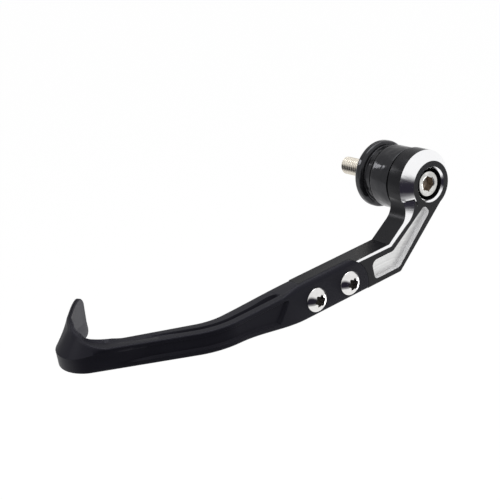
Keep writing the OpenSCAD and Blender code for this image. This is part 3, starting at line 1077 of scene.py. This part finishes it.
    def channel(self, s: np.ndarray, share: float) -> np.ndarray:
        """Depth of the front face's channel at a share of its height.

        Its near end slants, so that a lower row starts later, and its far end fades out.

        Args:
            s: Lengths along the line.
            share: 0 at the channel's foot and 1 at its head.

        Returns:
            The depth at each length.
        """
        fade = 1 - ease(self.curl - self.channel_end[0], self.curl - self.channel_end[1], s)
        start = self.taper + self.channel_lead + self.channel_slant * (1 - share)
        return self.channel_t * fade * ease(start, start + self.channel_ramp, s)

    def front(self, s: np.ndarray, at: Lines) -> list:
        """Points up the front face: the channel's foot, its rows and its head.

        Args:
            s: Lengths along the line.
            at: The section's lines.

        Returns:
            The points, each as two arrays over the lengths.
        """
        low, high = self.channel(s, 0), self.channel(s, 1)
        points = [(at.face + share * low, at.channel_low + z) for share, z in self.channel_foot]
        foot, head = at.channel_low + self.channel_inset[0], at.channel_top - self.channel_inset[1]
        for share in np.linspace(*self.channel_rows):
            points.append((at.face + self.channel(s, share), mix(foot, head, share)))
        return points + [(at.face + share * high, at.channel_top + z) for share, z in self.channel_head]

    def slot(self, s: np.ndarray, at: Lines) -> list:
        """Points across the slot in the upper face, which has a wide mouth at its near end.

        Args:
            s: Lengths along the line.
            at: The section's lines.

        Returns:
            The points, each as two arrays over the lengths.
        """
        start, mouth = self.taper + self.slot_from, self.taper + self.mouth_full
        depth = self.slot_t * ease(start, self.taper + self.slot_full, s)
        depth = depth * (1 - ease(self.first, self.curl - self.slot_end, s))
        wider = ease(start, mouth, s) * (1 - ease(mouth, self.taper + self.mouth_end, s))
        near = at.face + np.minimum(self.slot_in, at.thick * self.top_share)
        far = near + np.minimum(self.slot_w, at.thick * self.slot_share) + self.mouth_w * wider
        points = [(near + at.lean + u, at.top - share * depth) for u, share in self.slot_side]
        back = reversed(self.slot_side)
        return points + [(far + at.lean - u, at.top - share * depth) for u, share in back]

    def section(self, s: np.ndarray) -> np.ndarray:
        """The guard's section at each length, as (distance in from the front line, z) points.

        It runs round from the front's lower edge: up the channel, over the top with its slot,
        down the back past the crease and round the lower edge.

        Args:
            s: Lengths along the line.

        Returns:
            An array of shape (lengths, points, 2).
        """
        at = self.lines(s)
        rear, edge, top = at.face + at.thick, at.edge_round, at.top_round
        points = rounded(at.face + edge, at.low + edge, edge, 270, 180, 6)
        points += self.front(s, at)
        shoulder = np.maximum(at.top - top, at.crease)
        points += at.leaning(rounded(at.face + top, shoulder, top, 180, 90, 10))
        points += self.slot(s, at)
        points += at.leaning(rounded(rear - edge, at.rear_top - edge, edge, 90, 0, 6))
        points += [(rear, at.crease + z) for z in (self.crease_gap, 0, -self.crease_gap)]
        points += rounded(rear - edge, at.low + edge, edge, 0, -90, 6)
        return np.stack([np.stack(point, axis=-1) for point in points], axis=1)

    def build(self) -> bpy.types.Object:
        """Sweeps the section, cuts the tongue's pocket, the round end and the screw holes.

        A point lies at line + distance * (cos heading, -sin heading), at its own height.

        Returns:
            The dressed guard.
        """
        s = self.stations()
        line, heading = self.line(s)
        section = self.section(s)
        inward = np.stack([np.cos(heading), -np.sin(heading)], axis=-1)
        flat = line[:, None, :] + inward[:, None, :] * section[..., :1]
        grid = np.concatenate([flat, section[..., 1:]], axis=-1)
        obj = place("moulded_guard", ring_mesh("moulded_guard", grid))
        cut(obj, self.cutters())
        smooth(obj.data, self.sharp_above)
        dress(obj.data, [MouldedNylon()])
        return mount_piece(obj, "lever_guard")

    def cutters(self) -> list[bpy.types.Object]:
        """The solids that are cut out of the swept guard."""
        near_x, far_x = self.front_x - self.clear, self.front_x + self.bar_t + self.clear
        tongue = (self.tongue_y, self.screws[0][1])
        reach = self.lap_r + self.lap_gap + self.seam
        pocket = self.lobe(tongue, reach, (-90, 90, 48))
        end = self.lobe(self.shoulder, self.lap_r - self.lap_gap, (90, 270, 64))
        tools = [
            prism("tongue_pocket", pocket, self.lap_x - self.seam, far_x),
            prism("round_end", end, near_x, far_x),
        ]
        for number, screw in enumerate(self.screws):
            hole = arc(screw, self.screw_hole_r, 0, 360, 48)[:-1]
            tools.append(prism(f"screw_hole_{number}", hole, near_x, far_x))
        return tools

    def lobe(self, centre: tuple, radius: float, turn: tuple) -> np.ndarray:
        """Outline of an arc whose two ends run straight back past the guard's rear end."""
        far_y = self.start_y - self.clear
        bow = arc(centre, radius, *turn)
        first, last = ([[far_y, z]] for z in (bow[0][1], bow[-1][1]))
        return np.concatenate([first, bow, last])


@dataclass
class BarEndCollar:
    """The turned collar between the arm and the bar's end."""

    barrel_d: float = 28.0
    flange_d: float = 30.0
    flange_w: float = 4.5
    neck_d: float = 25.6
    neck_w: float = 3.6
    flange_round: float = 1.6
    shoulder_round: float = 2.0
    barrel_c: float = 0.4
    seam_w: float = 1.15
    seam_t: float = 0.9
    groove_c: float = 0.4
    bore_d: float = 8.6
    sharp_above: float = 40.0

    def build(self) -> bpy.types.Object:
        """Turns the collar: bore, end face, barrel, groove and flange.

        Returns:
            The dressed collar.
        """
        arm_x = cad_box("bar_end_collar")[0][0]
        bore, barrel, neck = self.bore_d / 2, self.barrel_d / 2, self.neck_d / 2
        seam_x, seam_r = arm_x + self.seam_w, barrel - self.seam_t
        shoulder, c, r = self.shoulder_round, self.groove_c, self.flange_round
        low = math.degrees(math.asin((neck - barrel + shoulder) / shoulder))
        groove_x = -self.flange_w - self.neck_w
        edge, rim = barrel - self.barrel_c, self.flange_d / 2 - r
        body = Turned(around=144)
        body.profile([(0.0, bore), (arm_x, bore), (arm_x, seam_r), (seam_x, seam_r)])
        body.profile([(seam_x, edge)])
        body.profile(arc((seam_x + self.barrel_c, edge), self.barrel_c, 180, 90, 5))
        body.profile(arc((groove_x - shoulder, barrel - shoulder), shoulder, 90, low, 10))
        body.profile(arc((groove_x + c, neck + c), c, 180, 270, 4))
        body.profile(arc((-self.flange_w - c, neck + c), c, 270, 360, 4))
        body.profile(arc((r - self.flange_w, rim), r, 180, 90, 10))
        body.profile(arc((-r, rim), r, 90, 0, 10))
        mesh = body.tube("turned_collar", self.sharp_above)
        dress(mesh, [GlossyCollar()])
        return mount_piece(place("turned_collar", mesh), "bar_end_collar")


@dataclass
class ClampBolt:
    """The socket head bolt, with its real thread on the free end."""

    thread_d: float = 8.0
    head_d: float = 11.2
    head_h: float = 8.0
    rim_round: float = 0.4
    socket_w: float = 6.0
    socket_t: float = 4.0
    socket_c: float = 0.35
    # Rings of the socket's wall: shares of its depth from and to, and their count.
    socket_rows: tuple = (0.8, 0.2, 4)
    mouth_gap: float = 0.15
    floor_round: float = 0.15
    floor_share: float = 0.97
    drill_t: float = 0.6
    drill_r: float = 0.4
    pitch: float = 1.25
    thread_t: float = 0.5
    flank_share: float = 1.25
    crest_share: float = 0.12
    turn_rings: int = 12
    runout_d: float = 6.8
    runout_l: float = 1.2
    thread_lead: float = 0.1
    end_c: float = 0.6
    end_step: float = 0.1
    shade_over: float = 1.0
    sharp_above: float = 38.0
    shank_finish: Stainless = Stainless()
    # The hexagon socket's faces are painted a darker brown: painted shade in the recess.
    socket_shade_finish: SocketShade = SocketShade("bolt_socket_shade", (0.28, 0.24, 0.20), (0.66, 0.58, 0.49))
    head_finish: Stainless = Stainless("bolt_head", (0.22, 0.22, 0.21), (1.0, 0.99, 0.96), 0.16)

    def build(self) -> bpy.types.Object:
        """Turns the bolt from the bottom of its socket to its end.

        Returns:
            The dressed bolt.
        """
        low, high = cad_box("clamp_bolt")
        top, end = low[0], high[0]
        seat, groove = top + self.head_h, self.thread_lead - self.runout_l
        outer, shank, core = self.head_d / 2, self.thread_d / 2, self.runout_d / 2
        body = Turned(around=120)
        self.socket(body, top)
        r = self.rim_round
        body.profile(arc((top + r, outer - r), r, 180, 90, 8))
        body.profile([(seat, outer), (seat, shank), (groove, shank), (groove, core)])
        body.profile([(self.thread_lead, core)])
        self.thread(body, end)
        mesh = body.solid("threaded_bolt", self.sharp_above)
        finishes = [self.shank_finish, self.socket_shade_finish, self.head_finish]
        dress(mesh, finishes, self.faces(mesh, top))
        return mount_piece(place("threaded_bolt", mesh), "clamp_bolt")

    def socket(self, body: Turned, top: float) -> None:
        """Adds the hexagon socket's rings from its drilled bottom out to the head's face.

        Args:
            body: The bolt so far.
            top: Place of the head's face along X.
        """
        across = hexagon(body.angles(), self.socket_w)
        mouth = self.socket_w / 2 / math.cos(math.pi / 6) + self.mouth_gap
        edge = top + self.socket_c
        body.ring(top + self.socket_t + self.drill_t, self.drill_r)
        body.ring(top + self.socket_t, across * self.floor_share)
        body.ring(top + self.socket_t - self.floor_round, across)
        for share in np.linspace(*self.socket_rows):
            body.ring(edge + share * (self.socket_t - self.socket_c), across)
        body.ring(edge, across)
        body.ring(top, np.maximum(mouth, across))
        body.ring(top, mix(mouth, self.head_d / 2 - self.rim_round, 0.5))

    def thread(self, body: Turned, end: float) -> None:
        """Adds the thread's rings and the bevelled end.

        The thread is a wave in the radius: a triangle with flat crests in
        x / pitch - angle / 360, which climbs one pitch in each turn.

        Args:
            body: The bolt so far.
            end: Place of the bolt's end along X.
        """
        turn = body.angles() / (2 * math.pi)
        for x in np.arange(self.thread_lead, end - self.end_c / 2, self.pitch / self.turn_rings):
            wave = np.abs((x / self.pitch - turn) % 1.0 - 0.5) * 2
            depth = self.thread_t * np.clip(wave * self.flank_share - self.crest_share, 0, 1)
            start = min((x - self.thread_lead) / self.pitch, 1.0)
            bevel = max(0.0, x - (end - self.end_c))
            body.ring(x, self.thread_d / 2 - depth * start - bevel)
        body.ring(end, self.thread_d / 2 - self.end_c - self.end_step)

    def faces(self, mesh: bpy.types.Mesh, top: float) -> np.ndarray:
        """The BoltFace number of each face, from its place along and about the axis."""
        corners = self.socket_w / 2 / math.cos(math.pi / 6)
        bottom = top + self.socket_t + self.shade_over
        # The socket's faces, which take the painted shade.
        socket = within(mesh, (0.0, 0.0), corners, top + self.socket_c, bottom)
        head = faces_of(mesh)[0][:, 0] < top + self.head_h
        return np.select([socket, head], [BoltFace.SOCKET, BoltFace.HEAD], BoltFace.SHANK)


@dataclass
class GuardScrew:
    """A button head screw with a star socket."""

    end: End
    head_d: float = 10.5
    head_h: float = 3.3
    rim: float = 0.5
    rim_share: float = 0.6
    rim_c: float = 0.08
    star_d: float = 5.4
    star_root: float = 0.74
    star_t: float = 2.0
    star_shares: tuple = (0.9, 0.97, 0.985)
    floor_round: float = 0.2
    drill_t: float = 0.5
    drill_r: float = 0.3
    mouth_t: float = 0.15
    mouth_r: float = 0.12
    dome_in: float = 0.3
    dome_rings: int = 14
    thread_d: float = 6.0
    end_c: float = 0.6
    shade_from: float = 0.8
    shade_over: float = 0.8
    sharp_above: float = 38.0

    def build(self) -> bpy.types.Object:
        """Turns the screw from the bottom of its socket to its end.

        Returns:
            The dressed screw.
        """
        node, name = f"{self.end.value}_guard_screw", f"{self.end.value}_button_screw"
        low, high = cad_box(node)
        centre = (low + high) / 2
        axis = (centre[1], centre[2])
        top, end = low[0], high[0]
        front, outer, shank = top + self.head_h, self.head_d / 2, self.thread_d / 2
        body = Turned(centre=axis, around=144)
        self.socket(body, top)
        self.dome(body, top)
        edge = (front - self.rim_c, outer), (front, outer - self.rim_c)
        body.profile([(front - self.rim * self.rim_share, outer), *edge, (front, shank)])
        body.profile([(end - self.end_c, shank), (end, shank - self.end_c)])
        mesh = body.solid(name, self.sharp_above)
        shaded = top + self.star_t * self.shade_from, top + self.star_t + self.shade_over
        # The star socket's faces are painted near black: painted shade in the recess.
        dress(mesh, [PolishedSteel(), SocketShade()], within(mesh, axis, self.star_d / 2, *shaded))
        return mount_piece(place(name, mesh), node)

    def ball(self) -> tuple[float, float]:
        """Radius of the dome's ball, and half the angle that the dome spans on it."""
        dome = self.head_h - self.rim
        radius = (self.head_d**2 / 4 + dome**2) / (2 * dome)
        return radius, math.asin(self.head_d / 2 / radius)

    def dome_x(self, top: float, radius: np.ndarray | float) -> np.ndarray:
        """Place of the dome's surface along X at a radius, by the circle of its ball."""
        ball, reach = self.ball()
        height = np.sqrt(ball**2 - np.square(radius)) - ball * math.cos(reach)
        return top + self.head_h - self.rim - height

    def socket(self, body: Turned, top: float) -> None:
        """Adds the star socket's rings from its drilled bottom out to the dome.

        Args:
            body: The screw so far.
            top: Place of the dome's top along X.
        """
        lobes = star(body.angles(), self.star_d, self.star_root)
        floor = top + self.star_t
        body.ring(floor + self.drill_t, self.drill_r)
        places = (floor, floor - self.floor_round, mix(floor, top, 0.5))
        for x, share in zip(places, self.star_shares):
            body.ring(x, lobes * share)
        body.ring(self.dome_x(top, lobes) + self.mouth_t, lobes)
        body.ring(self.dome_x(top, lobes + self.mouth_r), lobes + self.mouth_r)

    def dome(self, body: Turned, top: float) -> None:
        """Adds round rings at even angles of the ball, from the socket to the rim."""
        ball, reach = self.ball()
        first = math.asin((self.star_d / 2 + self.dome_in) / ball)
        for share in np.linspace(0, 1, self.dome_rings):
            radius = ball * math.sin(mix(first, reach, share))
            body.ring(self.dome_x(top, radius), radius)


@dataclass(frozen=True)
class Lamp:
    """A square lamp that faces the object: its place and width, and its power in watts."""

    name: str
    at: tuple
    width: float
    power: float

    def build(self, centre: tuple) -> None:
        """Adds the lamp, unseen by the camera, and aims it at the object's centre."""
        data = bpy.data.lights.new(self.name, "AREA")
        data.shape = "SQUARE"
        data.size = self.width * MM
        data.energy = self.power
        obj = place(self.name, data)
        obj.location = Vector(self.at) * MM
        obj.visible_camera = False
        aim = Vector(centre) * MM - obj.location
        obj.rotation_euler = aim.to_track_quat("-Z", "Y").to_euler()


@dataclass
class Studio:
    """A pale floor, soft lamps, a dark room behind the camera, and the camera."""

    floor_z: float = -700.0
    floor_half: float = 9000.0
    floor_paint: tuple = (0.92, 0.92, 0.92, 1.0)
    glow: float = 1.07
    glow_share: float = 0.8
    ambient: float = 0.75
    eye: tuple = (-451.762, 388.550, 215.165)
    gaze: tuple = (0.76218, -0.52621, -0.37707)
    roll: float = -10.4514
    lens: float = 100.8
    sensor: float = 36.0
    shift: tuple = (-0.001, 0.001)
    clip: tuple = (0.01, 20.0)
    centre: tuple = (-10.0, 70.0, -10.0)
    card_r: float = 900.0
    card_steps: int = 49
    # The room's near side, dark below a hill.
    near_turn: tuple = (78.0, 222.0)
    near_rise: tuple = (-41.0, 46.0)
    near_dark: tuple = (0.021, 0.019, 0.029)
    hill_h: float = 24.0
    hill_drop: float = 16.0
    hill_turn: float = 138.0
    hill_half: float = 36.0
    hill_edge: tuple = (-12.0, 15.0)
    foot_edge: tuple = (20.0, 40.0)
    foot_level: float = 0.45
    # Its far side, a soft grey patch.
    far_turn: tuple = (-62.0, 85.0)
    far_rise: tuple = (-8.0, 62.0)
    far_dark: tuple = (0.0, 0.0, 0.0)
    far_depth: float = 0.45
    far_turn_edges: tuple = (16.0, 30.0)
    far_rise_edges: tuple = (14.0, 16.0)
    lamps: tuple = (
        Lamp("overhead", (150.0, -150.0, 900.0), 700.0, 5.0),
        Lamp("back", (740.0, -550.0, 420.0), 640.0, 1.5),
        Lamp("low", (-43.0, -301.0, -205.0), 260.0, 0.7),
        Lamp("glint", (627.0, 389.0, 480.0), 150.0, 0.5),
    )

    def build(self) -> None:
        """Builds everything that is not part of the object."""
        self.world()
        self.floor()
        self.dark_room()
        for lamp in self.lamps:
            lamp.build(self.centre)
        self.camera()
        bpy.context.scene.view_settings.view_transform = "Standard"

    def world(self) -> None:
        """White where the camera or a reflection sees it, and softer as a light."""
        g = Graph("studio", world=True)
        seen = g.seen_by("Is Camera Ray", "Is Glossy Ray", "Is Transmission Ray")
        levels = {"Value": seen, "To Min": self.ambient, "To Max": 1.0}
        strength = g.node("ShaderNodeMapRange", None, levels).outputs[0]
        sky = {"Color": (1.0, 1.0, 1.0, 1.0), "Strength": strength}
        shader = g.node("ShaderNodeBackground", None, sky).outputs[0]
        bpy.context.scene.world = g.end(shader, "ShaderNodeOutputWorld")

    def floor(self) -> None:
        """A wide floor that glows to the camera and in reflections, so that it is white.

        Its painted share keeps the object's shadow.
        """
        h = self.floor_half
        corners = np.array([[-h, -h], [h, -h], [h, h], [-h, h]])
        points = np.column_stack([corners, np.full(4, self.floor_z)]) * MM
        mesh = bpy.data.meshes.new("floor")
        mesh.from_pydata(points.tolist(), [], [[0, 1, 2, 3]])
        g = Graph("floor_paint")
        light = {"Color": (1.0, 1.0, 1.0, 1.0), "Strength": self.glow}
        glow = g.node("ShaderNodeEmission", None, light).outputs[0]
        paint = g.node("ShaderNodeBsdfDiffuse", None, {"Color": self.floor_paint}).outputs[0]
        share = g.seen_by("Is Camera Ray", "Is Glossy Ray") * self.glow_share
        both = g.node("ShaderNodeMixShader", None, {0: share, 1: paint, 2: glow}).outputs[0]
        mesh.materials.append(g.end(both))
        place("floor", mesh)

    def dark_room(self) -> None:
        """The dark sides of the room, which only show in reflections.

        The near side is dark below a hill, hill_h - hill_drop * ((turn - hill_turn) /
        hill_half)^2, and paler again at its foot. The far side is a soft grey patch.
        """
        turn, rise = self.compass(self.near_turn, self.near_rise)
        hill = self.hill_h - self.hill_drop * ((turn - self.hill_turn) / self.hill_half) ** 2
        above = ease(*self.hill_edge, rise - hill)
        foot = self.foot_level * ease(*self.foot_edge, -rise)
        self.card("camera_side", turn, rise, np.maximum(above, foot), self.near_dark)
        turn, rise = self.compass(self.far_turn, self.far_rise)
        sides = self.inside(self.far_turn, self.far_turn_edges, turn)
        ends = self.inside(self.far_rise, self.far_rise_edges, rise)
        self.card("far_side", turn, rise, 1.0 - self.far_depth * sides * ends, self.far_dark)

    def inside(self, limits: tuple, edges: tuple, angle: np.ndarray) -> np.ndarray:
        """1 between two limits, and 0 at them, with a soft edge of its own width at each."""
        (low, high), (first, last) = limits, edges
        return ease(low, low + first, angle) * ease(-high, last - high, -angle)

    def compass(self, turn: tuple, rise: tuple) -> tuple[np.ndarray, np.ndarray]:
        """A grid of compass angles, from +X towards +Y, and angles above level, in degrees."""
        return np.meshgrid(np.linspace(*turn, self.card_steps), np.linspace(*rise, self.card_steps))

    def card(
        self, name: str, turn: np.ndarray, rise: np.ndarray, level: np.ndarray, dark: tuple
    ) -> None:
        """Adds part of a ball round the object that shows only in reflections.

        A point lies at centre + radius * (cos turn cos rise, sin turn cos rise, sin rise).

        Args:
            name: The card's name.
            turn: Grid of compass angles in degrees.
            rise: Grid of angles above level in degrees.
            level: Grid of brightness, from 0 for the dark colour to 1 for white.
            dark: The dark colour.
        """
        a, e = np.radians(turn), np.radians(rise)
        ball = np.stack([np.cos(a) * np.cos(e), np.sin(a) * np.cos(e), np.sin(e)], axis=-1)
        points = (np.array(self.centre) + self.card_r * ball).reshape(-1, 3) * MM
        n = self.card_steps
        k, i = np.meshgrid(np.arange(n - 1), np.arange(n - 1), indexing="ij")
        faces = np.stack([k * n + i, k * n + i + 1, k * n + n + i + 1, k * n + n + i], axis=-1)
        mesh = bpy.data.meshes.new(name)
        mesh.from_pydata(points.tolist(), [], faces.reshape(-1, 4).tolist())
        glow = mesh.attributes.new("glow", "FLOAT", "POINT")
        glow.data.foreach_set("value", level.ravel().astype(np.float32))
        g = Graph(name + "_paint")
        share = g.node("ShaderNodeAttribute", {"attribute_name": "glow"}).outputs["Fac"]
        colour = g.tint(share, dark, (1.0, 1.0, 1.0))
        light = g.node("ShaderNodeEmission", None, {"Color": colour}).outputs[0]
        mesh.materials.append(g.end(light))
        obj = place(name, mesh)
        obj.visible_camera = False
        obj.visible_shadow = False
        obj.visible_diffuse = False

    def camera(self) -> None:
        """Puts the camera where the photograph was taken from."""
        data = bpy.data.cameras.new("camera")
        data.lens = self.lens
        data.sensor_width = self.sensor
        data.shift_x, data.shift_y = self.shift
        data.clip_start, data.clip_end = self.clip
        obj = place("camera", data)
        level = Vector(self.gaze).to_track_quat("-Z", "Y").to_matrix().to_4x4()
        turn = Matrix.Rotation(math.radians(self.roll), 4, "Z")
        obj.matrix_world = Matrix.Translation(Vector(self.eye) * MM) @ level @ turn
        bpy.context.scene.camera = obj


def main() -> None:
    """Builds the guard's pieces and the studio."""
    logging.basicConfig(level=logging.INFO, format="%(name)s: %(message)s")
    parts = [MountingArm(), LeverGuard(), BarEndCollar(), ClampBolt(), *map(GuardScrew, End)]
    for part in parts:
        piece = part.build()
        LOG.info("%s: %d faces", piece.name, len(piece.data.polygons))
    Studio().build()


if __name__ == "__main__":
    main()
